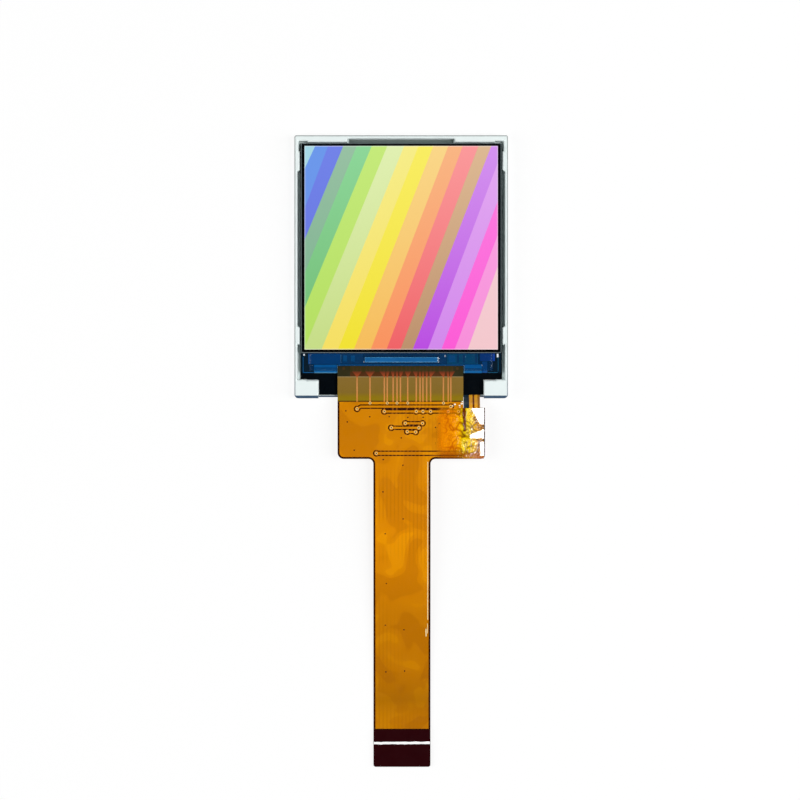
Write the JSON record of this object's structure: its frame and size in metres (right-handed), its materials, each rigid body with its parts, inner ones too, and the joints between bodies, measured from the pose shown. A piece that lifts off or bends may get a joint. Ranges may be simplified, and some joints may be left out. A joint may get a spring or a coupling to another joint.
{
  "type": "tft display module",
  "caption": "Small colour liquid crystal display module: glass cell on an edge-lit backlight in a moulded frame, with a bonded flexible circuit that ends in a plug-in contact tail.",
  "frame": {"origin": "middle of the moulded frame's outline, on its rear face", "axes": "+Z out of the screen, +Y to the picture's top edge, +X right; the circuit's tail runs towards -Y"},
  "size_m": [0.028, 0.083, 0.0023],
  "materials": {
    "backlight_frame": "moulded white polycarbonate",
    "reflector_film": "silvered reflector film",
    "light_guide": "clear moulded light guide",
    "diffuser_film": "matt diffuser film",
    "lower_prism_film": "ribbed prism film",
    "upper_prism_film": "ribbed prism film",
    "led_1": "white shell with yellow phosphor",
    "led_2": "white shell with yellow phosphor",
    "led_3": "white shell with yellow phosphor",
    "led_flex_copper": "bright plated copper",
    "led_flex_film": "amber polyimide",
    "led_flex_coverlay": "amber polyimide coverlay",
    "rim_tape": "black adhesive tape",
    "rear_polarizer": "grey polarizer film",
    "tft_glass": "polished glass",
    "cell_seal": "cured seal",
    "liquid_crystal": "liquid crystal layer",
    "cf_glass": "polished glass",
    "front_polarizer": "glossy polarizer over a striped picture",
    "driver_chip": "polished silicon",
    "ledge_resin": "translucent blue resin",
    "bond_film": "cured bonding film",
    "flex_rear_coverlay": "amber polyimide coverlay",
    "flex_rear_copper": "gold-plated copper",
    "flex_base_film": "amber polyimide",
    "flex_front_copper": "copper under coverlay",
    "flex_front_coverlay": "amber polyimide coverlay",
    "flex_stiffener": "dark red-brown polyimide",
    "lead_solder": "bright solder",
    "joint_tape": "glossy amber polyimide tape"
  },
  "bodies": {
    "root": {"backlight_frame": "backlight_frame", "reflector_film": "reflector_film", "light_guide": "light_guide", "diffuser_film": "diffuser_film", "lower_prism_film": "lower_prism_film", "upper_prism_film": "upper_prism_film", "led_1": "led_1", "led_2": "led_2", "led_3": "led_3", "led_flex_copper": "led_flex_copper", "led_flex_film": "led_flex_film", "led_flex_coverlay": "led_flex_coverlay", "rim_tape": "rim_tape", "rear_polarizer": "rear_polarizer", "tft_glass": "tft_glass", "cell_seal": "cell_seal", "liquid_crystal": "liquid_crystal", "cf_glass": "cf_glass", "front_polarizer": "front_polarizer", "driver_chip": "driver_chip", "ledge_resin": "ledge_resin", "bond_film": "bond_film", "flex_rear_coverlay": "flex_rear_coverlay", "flex_rear_copper": "flex_rear_copper", "flex_base_film": "flex_base_film", "flex_front_copper": "flex_front_copper", "flex_front_coverlay": "flex_front_coverlay", "flex_stiffener": "flex_stiffener", "lead_solder": "lead_solder", "joint_tape": "joint_tape"}
  },
  "joints": []
}
